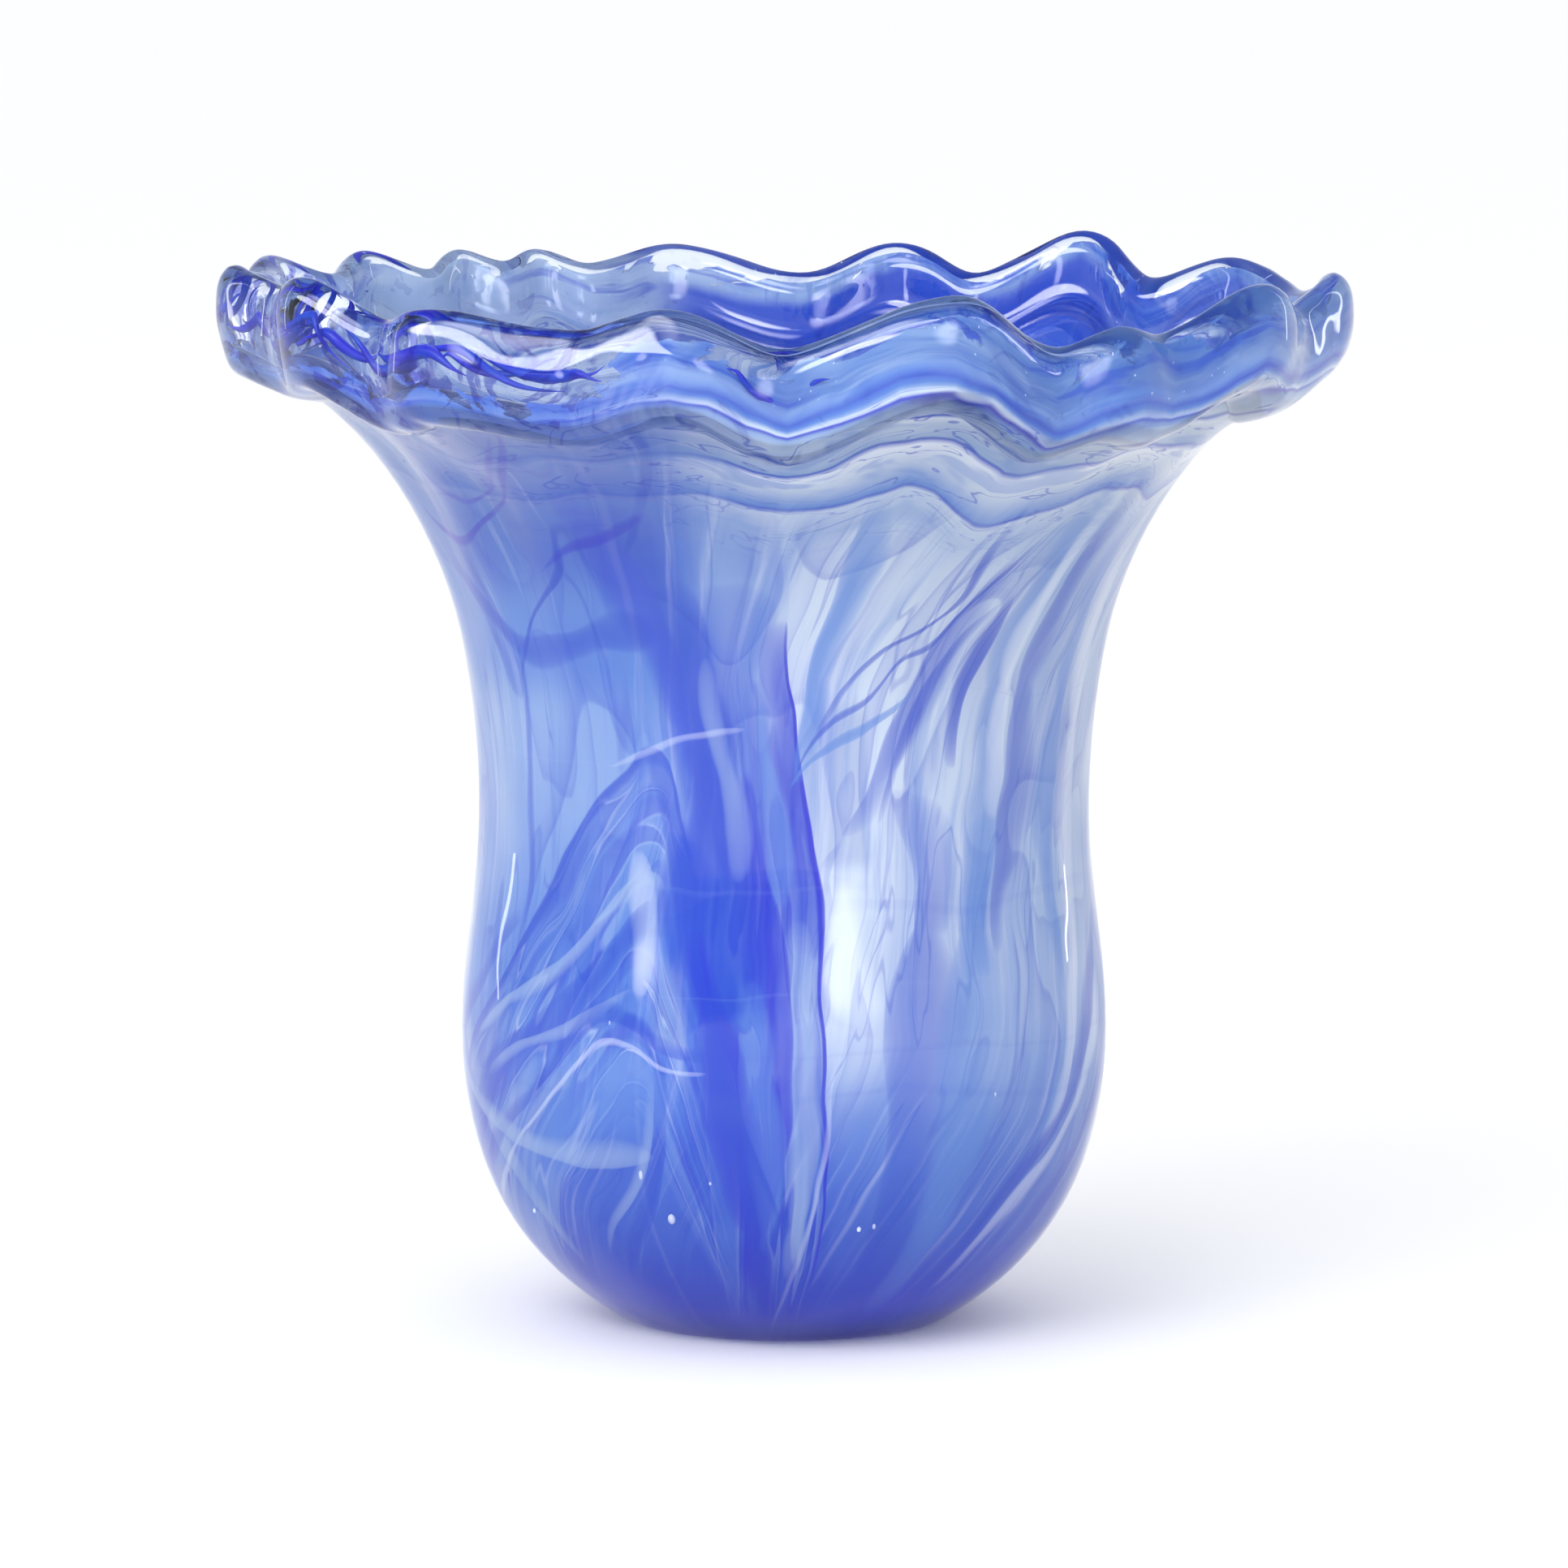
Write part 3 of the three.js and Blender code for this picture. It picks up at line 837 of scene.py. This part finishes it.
# %% Clear glass
def clear_glass(name, tint, roughness, ripple, wisps=None):
    recipe = Recipe(name)
    swell = recipe.noise(recipe.place(), detail=1.0, scale=34.0)
    bump = recipe.node("Bump", inputs={"Height": swell, "Strength": ripple, "Distance": 4 * MM})
    inputs = {
        "Base Color": wisps(recipe, tint) if wisps else tint,
        "Roughness": roughness,
        "IOR": 1.5,
        "Transmission Weight": 1.0,
        "Normal": bump,
    }
    glass = recipe.node("BsdfPrincipled", inputs=inputs)
    passing = recipe.node("BsdfTransparent", inputs={"Color": tint})
    shadow = recipe.node("LightPath", output="Is Shadow Ray")
    return recipe.finish(recipe.node("MixShader", inputs={0: shadow, 1: glass, 2: passing}))


CASING = clear_glass("clear_casing", (0.975, 0.985, 1.0, 1.0), 0.012, 0.45)

# %% Shape of the casing
SINK = 1.7  # mm that the inner wall moves into the bubble
LET_OUT = 1.1  # mm that the belly is let out, because rounding draws a surface in
INNER_FLOOR = 4  # mm: the casing's floor, below which nothing faces the bubble
BELLY = (12, 150)  # mm: from the foot's curve to the neck
UNDER_LIP = (10, 26)  # mm in from the roll's middle, and below the lip, of the end under the roll
TUCK = 3.4  # mm that this end is lifted into the bubble
NARROWING = 0.7  # share of its overhang that is taken off

casing = copy_layer("clear_casing", "clear_skin")
places = corners(casing)
normals = corner_normals(casing)
inner = (outwardness(places, normals) < -0.05) | (normals[:, 2] > 0.3)
inner &= places[:, 2] > INNER_FLOOR * MM
select_corners(casing, inner)
bpy.ops.transform.shrink_fatten(value=SINK * MM)
bpy.ops.object.mode_set(mode="OBJECT")
print("casing corners moved into the bubble:", int(inner.sum()), "of", len(inner))

places = corners(casing)
belly = ~inner & (places[:, 2] > BELLY[0] * MM) & (places[:, 2] < BELLY[1] * MM)
select_corners(casing, belly)
bpy.ops.transform.shrink_fatten(value=LET_OUT * MM)
bpy.ops.object.mode_set(mode="OBJECT")

places = corners(casing)
turns = turn_of(places)
from_lip = distance_out(places) - at_turn(turns, lip_radii)
under = (from_lip > -UNDER_LIP[0] * MM) & (places[:, 2] > at_turn(turns, lip_tops) - UNDER_LIP[1] * MM)
ends = under & (from_lip > 0)
places[ends, :2] *= (1 - NARROWING * from_lip[ends] / distance_out(places[ends]))[:, None]
move_corners(casing, places)
select_corners(casing, under)
bpy.ops.transform.translate(value=(0, 0, TUCK * MM))
bpy.ops.object.mode_set(mode="OBJECT")
print("casing corners tucked into the bubble under the lip:", int(under.sum()))
apply_subdivision(casing, 2)
finish_piece(casing, CASING, "clear_casing")

# %% [markdown]
# ## The lip band
#
# The band is the thick clear roll that makes the lip sparkle. It is drawn down over the edge of the
# wall on the outside, and sunk into it on the inside, and swells unevenly because it was wound on by
# hand.


# %% Wisps inside the band's glass
def lip_wisps(recipe, tint):
    wall = Wall(recipe)
    swirl = recipe.noise(wall.around(wall.angle, 5.0, wall.below * 0.05, 31.0), 3.0, 0.6, 1.4)
    colour = recipe.blend(recipe.rise(swirl, 0.50, 0.72) * 0.6, tint, paint(110, 146, 226))
    dark = recipe.noise(wall.around(wall.angle, 9.0, wall.below * 0.09, 41.0), 3.0, 0.6, 1.8)
    left = wall.band(wall.true_turn, -110.0, -26.0, 20.0, 12.0)
    patches = recipe.rise(dark + left * 0.09, 0.60, 0.66)
    return recipe.blend(patches * (0.35 + left * 0.55), colour, paint(16, 44, 186))


LIP = clear_glass("lip_glass", (0.80, 0.87, 0.97, 1.0), 0.01, 0.35, lip_wisps)

# %% Shape of the band
# (out, up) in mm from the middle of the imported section, from its top pole round to its side
TOP = [(0.6, 8.75), (2.4, 7.9), (3.8, 6.1), (4.55, 3.6), (4.7, 0.9)]
FACET = [(0.6, 8.75), (2.0, 7.7), (3.0, 5.4), (4.0, 2.4), (4.9, -0.8)]
UNDER_OUTSIDE = [(-13.0, -18.2), (-5.6, -16.6), (0.6, -13.4), (3.5, -8.8), (4.8, -3.4)]
UNDER_INSIDE = [(-12.0, -15.2), (-10.6, -13.4), (-8.4, -10.9), (-5.9, -7.8), (-4.9, -3.6)]
# how far out the five corners of a packed quarter lie
PACKED_OUT = [0.5, 2.1, 3.5, 4.4, 4.7]
PRESSED_TURNS = [-42, -32, -4, 4]  # degrees: from where the facet starts to where it ends
LEDGE_TURNS = [-110, -80, -25, -8]
LEDGE = [(1, 6.0), (2, 1.6)]  # (corner of the quarter, mm further out)

band = copy_layer("lip_band", "lip_roll")
places = corners(band)
turns = turn_of(places)
out = (distance_out(places) - at_turn(turns, lip_radii)) / MM
up = (places[:, 2] - at_turn(turns, lip_middles)) / MM
step = np.abs(np.abs(out)[:, None] - np.array(PACKED_OUT)[None]).argmin(axis=1)
quarters = {
    "top_outside": ((up > 0) & (out > 0), TOP, 1),
    "top_inside": ((up > 0) & (out < 0), TOP, -1),
    "under_outside": ((up < 0) & (out > 0), UNDER_OUTSIDE, 1),
    "under_inside": ((up < 0) & (out < 0), UNDER_INSIDE, 1),
}
new_out, new_up = out.copy(), up.copy()
for name, (chosen, profile, side) in quarters.items():
    profile = np.array(profile)
    new_out[chosen] = profile[step[chosen], 0] * side
    new_up[chosen] = profile[step[chosen], 1]
    print(name, int(chosen.sum()))
# the front left lobe was pressed flatter, which is where it catches the window
pressed = np.interp(turns, PRESSED_TURNS, [0, 1, 1, 0]) * ((up > 0) & (out > 0))
facet = np.array(FACET)[step]
new_out = new_out + (facet[:, 0] - new_out) * pressed
new_up = new_up + (facet[:, 1] - new_up) * pressed
# the left lobes keep a ledge, because the roll was not worked in there
ledge = np.interp(turns, LEDGE_TURNS, [0, 1, 1, 0]) * (up < 0) * (out > 0)
for corner, further_out in LEDGE:
    new_out = new_out + np.where(step == corner, further_out * ledge, 0)
radii = at_turn(turns, lip_radii) + new_out * MM
angles = np.radians(turns)
heights = at_turn(turns, lip_middles) + new_up * MM
move_corners(band, np.column_stack([radii * np.sin(angles), -radii * np.cos(angles), heights]))
apply_subdivision(band, 2)
apply_unevenness(band, "hand_wound", 20 * MM, 1.3 * MM)
finish_piece(band, LIP, "lip_band")

# %% [markdown]
# ## The punty's seal
#
# A dab of the same clear glass, ground flat, sits under the foot.

# %% Shape of the seal
SEAL = clear_glass("seal_glass", (0.86, 0.91, 0.985, 1.0), 0.05, 0.2)
seal = copy_layer("punty_seal", "ground_seal")
apply_subdivision(seal, 1)
finish_piece(seal, SEAL, "punty_seal")

# %% [markdown]
# ## Wisps of cobalt in the lip
#
# Where the roll was folded over, at the left of the front, threads of the cobalt were pulled into the
# clear glass and curled up there. Each is a path with a round section that swells and tapers, laid
# inside the roll, so that the glass in front of it bends it as it does in the real bowl.


# %% Wisps
def wisp_glass():
    recipe = Recipe("cobalt_wisp")
    wall = Wall(recipe)
    cloud = recipe.noise(wall.around(wall.angle, 14.0, wall.below * 0.3, 71.0), 2.0)
    colour = recipe.blend(recipe.rise(cloud, 0.42, 0.62), INK, COBALT)
    # the emission is a painted glow that lifts the shade on the wisps inside the roll
    inputs = {"Base Color": colour, "Roughness": 0.25, "Emission Color": colour, "Emission Strength": 0.1}
    return recipe.finish(recipe.node("BsdfPrincipled", inputs=inputs))


def lay_wisp(start, length, rise, curl, thickness, phase):
    """One wisp: a path of so many degrees that climbs by rise mm and curls about its line"""
    bpy.ops.curve.primitive_nurbs_path_add()
    wisp = bpy.context.object
    bpy.ops.object.mode_set(mode="EDIT")
    bpy.ops.curve.subdivide(number_cuts=3)
    bpy.ops.object.mode_set(mode="OBJECT")
    points = wisp.data.splines[0].points
    for index, point in enumerate(points):
        share = index / (len(points) - 1)
        turn = start + length * share + 0.5 * curl * math.cos(7 * share + phase)
        out = 0.4 + 1.5 * math.sin(6 * share + phase)
        up = rise * (share - 0.5) + curl * math.sin(8 * share + phase) - 1
        radius = at_turn(turn, lip_radii) + out * MM
        angle = math.radians(turn)
        height = at_turn(turn, lip_middles) + up * MM
        point.co = (radius * math.sin(angle), -radius * math.cos(angle), height, 1)
        point.radius = max(math.sin(math.pi * share), 0.08)
    wisp.data.bevel_depth = thickness * MM
    wisp.data.bevel_resolution = 2
    wisp.data.resolution_u = 3
    wisp.data.use_fill_caps = True
    only(wisp)
    bpy.ops.object.convert(target="MESH")
    return bpy.context.object


# turn, degrees, rise, curl, thickness in mm
WISPS = [
    (-92, 14, 5, 1.8, 1.1), (-88, 10, -4, 2.4, 0.8), (-80, 12, 3, 2.0, 1.3), (-74, 16, -5, 1.5, 0.7),
    (-70, 9, 6, 2.2, 1.1), (-64, 13, -3, 2.6, 0.9), (-58, 11, 5, 1.4, 1.4), (-53, 15, -5, 1.8, 1.2),
    (-47, 14, -4, 1.2, 1.5), (-42, 18, -5, 1.6, 1.0), (-38, 13, 3, 2.0, 0.8), (-33, 15, -3, 1.2, 1.2),
    (-27, 9, 2, 1.0, 0.6), (-7, 8, -2, 1.2, 0.7), (-4, 9, 3, 0.8, 0.9), (-104, 12, 4, 1.6, 1.0),
    (-116, 14, -4, 1.4, 0.9), (84, 12, 4, 1.6, 0.8), (92, 12, -5, 1.2, 0.7), (-135, 12, 3, 1.2, 0.8),
]
wisps = [lay_wisp(*wisp, phase=1.9 * index) for index, wisp in enumerate(WISPS)]
only(wisps[0])
for wisp in wisps:
    wisp.select_set(True)
bpy.ops.object.join()
bpy.ops.object.transform_apply(location=True, rotation=True, scale=True)
wisps = bpy.context.object
wisps.name = "cobalt_wisps"
bpy.ops.object.shade_smooth()
keep_distance_below_lip(wisps)
wisps.data.materials.append(wisp_glass())
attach(wisps, "root")

# %% [markdown]
# ## Seeds
#
# Seeds are the small bubbles that stay in hand-gathered glass, drawn long by the blowing. Each is a
# small ball of few faces, stretched upright and sunk just under the casing or into the lip.


# %% Seeds of air
def seed_glass():
    recipe = Recipe("seed_air")
    shade = recipe.rise(recipe.noise(recipe.place(), 1.0), 0.3, 0.7)
    colour = recipe.blend(shade, paint(206, 218, 250), paint(236, 240, 255))
    inputs = {"Base Color": colour, "Roughness": 0.12, "Alpha": 0.72}
    return recipe.finish(recipe.node("BsdfPrincipled", inputs=inputs))


def outer_radius(places, turn, height):
    """How far out a layer's skin is at a turn and height: the farthest of its nearby corners"""
    near = np.abs((turn_of(places) - turn + 180) % 360 - 180) < 3
    near &= np.abs(places[:, 2] - height) < 4 * MM
    return distance_out(places[near]).max()


# (turn, height in mm, width, length in mm) of the seeds in the body
BODY_SEEDS = [
    (-27, 43, 0.5, 1.1), (-22, 33, 0.9, 1.3), (-13.5, 42, 0.3, 0.4), (14.5, 31, 0.5, 0.7),
    (17.5, 31.5, 0.4, 0.7), (-32, 77, 0.2, 0.5), (40, 60, 0.3, 0.5), (-58, 30, 0.4, 0.6),
    (120, 80, 0.6, 1.0), (160, 45, 0.5, 0.9), (-150, 110, 0.4, 0.8), (75, 120, 0.3, 0.7),
]
SEED_DEPTH = 0.9  # mm under the casing's skin
LIP_SEEDS = 90
rng = np.random.default_rng(7)
casing_places = corners(casing)
spots = []
for turn, height, width, length in BODY_SEEDS:
    radius = outer_radius(casing_places, turn, height * MM) - SEED_DEPTH * MM
    spots.append((turn, radius, height * MM, width * MM, length * MM))
for turn in rng.uniform(-180, 180, LIP_SEEDS):
    radius = at_turn(turn, lip_radii) + rng.uniform(2.2, 3.6) * MM
    height = at_turn(turn, lip_middles) + rng.uniform(-6, 4) * MM
    size = rng.uniform(0.10, 0.26) * MM
    spots.append((turn, radius, height, size, size * rng.uniform(1, 1.8)))
bpy.ops.object.select_all(action="DESELECT")
balls = []
for turn, radius, height, width, length in spots:
    angle = math.radians(turn)
    bpy.ops.mesh.primitive_ico_sphere_add(subdivisions=2, radius=1, scale=(width, width, length))
    ball = bpy.context.object
    ball.location = (radius * math.sin(angle), -radius * math.cos(angle), height)
    balls.append(ball)
for ball in balls:
    ball.select_set(True)
bpy.context.view_layer.objects.active = balls[0]
bpy.ops.object.join()
bpy.ops.object.transform_apply(location=True, rotation=True, scale=True)
seeds = bpy.context.object
seeds.name = "seeds"
bpy.ops.object.shade_smooth()
seeds.data.materials.append(seed_glass())
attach(seeds, "root")
print("seeds:", len(spots), "with", len(seeds.data.polygons), "faces")

# %% [markdown]
# ## Floor, lights and camera
#
# Clear glass only shows what is around it. A pale room with two soft windows in front gives the belly
# its soft patches of light, and a large one overhead draws the bright line along the lip.

# %% Floor
bpy.ops.object.select_all(action="DESELECT")
bpy.ops.mesh.primitive_circle_add(vertices=96, radius=16, fill_type="NGON", location=(0, 0, -0.0004))
floor = bpy.context.object
floor.name = "floor"
floor_recipe = Recipe("pale_floor")
matt = {"Base Color": (0.96, 0.96, 0.965, 1), "Roughness": 0.9, "Specular IOR Level": 0.0}
floor.data.materials.append(floor_recipe.finish(floor_recipe.node("BsdfPrincipled", inputs=matt)))


# %% Room
class Room(Recipe):
    def __init__(self, name):
        self.material = bpy.data.worlds.new(name)
        self.material.use_nodes = True
        self.tree = self.material.node_tree
        self.tree.nodes.clear()

    def finish(self, shader):
        self.node("OutputWorld", inputs={"Surface": shader}, output=None)
        return self.material


room = Room("pale_room")
glossy = room.node("LightPath", output="Is Glossy Ray")
passing = room.node("LightPath", output="Is Transmission Ray")
# the room is white all round, but what the glass mirrors of it darkens from the horizon up,
# as a studio's ceiling does
mirrored = glossy * (1 - passing)
up = room.node("SeparateXYZ", inputs={0: room.node("TexCoord", output="Generated")}, output=2)
above = room.rise(up, -0.02, 0.55)
bright = room.node("Background", inputs={"Color": (0.985, 0.99, 1.0, 1), "Strength": 1.04})
dim = room.node("Background", inputs={"Color": (0.85, 0.91, 1.0, 1), "Strength": 0.95 - 0.6 * above})
bpy.context.scene.world = room.finish(room.node("MixShader", inputs={0: mirrored, 1: bright, 2: dim}))


# %% Soft windows
class Lamp(Recipe):
    def __init__(self, light):
        light.use_nodes = True
        self.tree = light.node_tree
        self.tree.nodes.clear()

    def finish(self, shader):
        self.node("OutputLight", inputs={"Surface": shader}, output=None)


def fading_light(light, core):
    """Bright over its core and faint at the edge, like a curtained window"""
    lamp = Lamp(light)
    spot = lamp.node("NewGeometry", output="Parametric")
    to_middle = {0: spot, 1: (0.5, 0.5, 0.0)}
    away = lamp.node("VectorMath", {"operation": "DISTANCE"}, to_middle, output="Value")
    lamp.finish(lamp.node("Emission", inputs={"Strength": 2.0 - 2.0 * lamp.rise(away, core, 0.5)}))


def window(name, turn, rise, distance, width, height, power, core=0.16):
    """An area light at a turn and a rise in degrees and a distance in metres, facing the bowl"""
    angle = math.radians(turn)
    slope = math.radians(rise)
    flat = distance * math.cos(slope)
    place = (flat * math.sin(angle), -flat * math.cos(angle), 0.12 + distance * math.sin(slope))
    bpy.ops.object.light_add(type="AREA", location=place)
    light = bpy.context.object
    light.name = name
    light.data.shape = "RECTANGLE"
    light.data.size = width
    light.data.size_y = height
    light.data.energy = power
    light.rotation_euler = (math.pi / 2 - slope, 0, angle)
    fading_light(light.data, core)
    return light


window("front_right_window", 22, 10, 1.5, 0.62, 0.90, 5.5)
window("front_left_window", -46, 12, 1.5, 0.34, 0.60, 2.2)
window("overhead_window", -34, 42, 1.6, 2.0, 0.6, 14)
# a low, wide window that only the gloss sees: it lies along the pressed front of the left lobe
clerestory = window("clerestory", -52, 27, 1.5, 2.6, 0.40, 21, core=0.34)
clerestory.visible_diffuse = False
clerestory.visible_transmission = False
window("left_strip", -122, 2, 1.5, 0.07, 2.6, 1.3)
window("right_strip", 128, 2, 1.5, 0.07, 2.6, 1.3)

# %% [markdown]
# The camera stands nearly two metres off with a long lens, so that the lip's ellipse stays flat, and
# looks down by a few degrees into the mouth. The standard view transform keeps the cobalt as strong as
# it is painted.

# %% Camera
AIM = (0.0, 0.0, 0.1226)
DISTANCE = 1.9
RISE = math.radians(7.2)
bpy.ops.object.camera_add(
    location=(AIM[0], AIM[1] - DISTANCE * math.cos(RISE), AIM[2] + DISTANCE * math.sin(RISE)),
    rotation=(math.pi / 2 - RISE, 0, 0),
)
camera = bpy.context.object
camera.data.lens = 190.9
camera.data.sensor_width = 36
bpy.context.scene.camera = camera
bpy.context.scene.view_settings.view_transform = "Standard"
